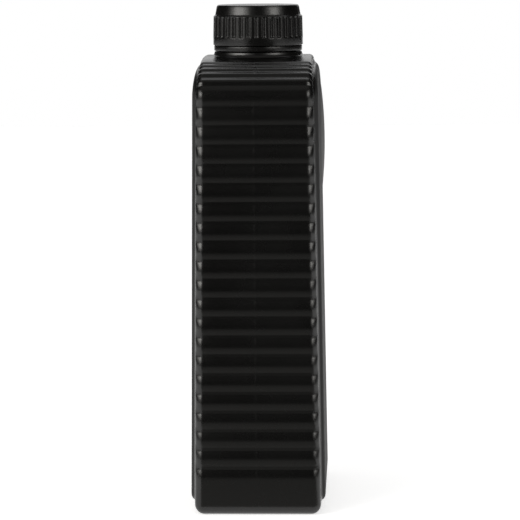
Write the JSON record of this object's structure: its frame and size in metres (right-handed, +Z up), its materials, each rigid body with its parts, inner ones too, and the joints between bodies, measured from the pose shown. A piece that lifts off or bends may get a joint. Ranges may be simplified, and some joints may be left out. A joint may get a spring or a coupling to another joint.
{
  "type": "motor oil bottle",
  "caption": "Flat blown plastic bottle with ribbed narrow sides, smooth label panels, and a fluted screw cap with its tamper band.",
  "frame": {"origin": "middle of the foot, on the surface the bottle stands on", "axes": "+Z up, through the neck; X across the wide way, between the ribbed narrow sides; the front label panel faces -Y"},
  "size_m": [0.104, 0.0654, 0.244],
  "materials": {
    "bottle_plastic": "satin black polyethylene",
    "cap_plastic": "satin black polypropylene",
    "liner_foam": "white foamed disc"
  },
  "bodies": {
    "bottle_body": {"bottle": "bottle_plastic", "tamper_band": "cap_plastic"},
    "liner_body": {"cap_liner": "liner_foam"},
    "cap_body": {"screw_cap": "cap_plastic"}
  },
  "joints": [
    {"name": "cap_lift", "type": "slide", "parent": "bottle_body", "child": "liner_body", "axis": [0, 0, 1], "range_m": [0, 0.021]},
    {"name": "cap_turn", "type": "hinge", "parent": "liner_body", "child": "cap_body", "pos_m": [0, 0, 0.234], "axis": [0, 0, 1], "range_deg": [0, 1800]}
  ],
  "couplings": [
    {"joint": "cap_lift", "follows": "cap_turn", "m_per_rad": 0.00066845}
  ]
}
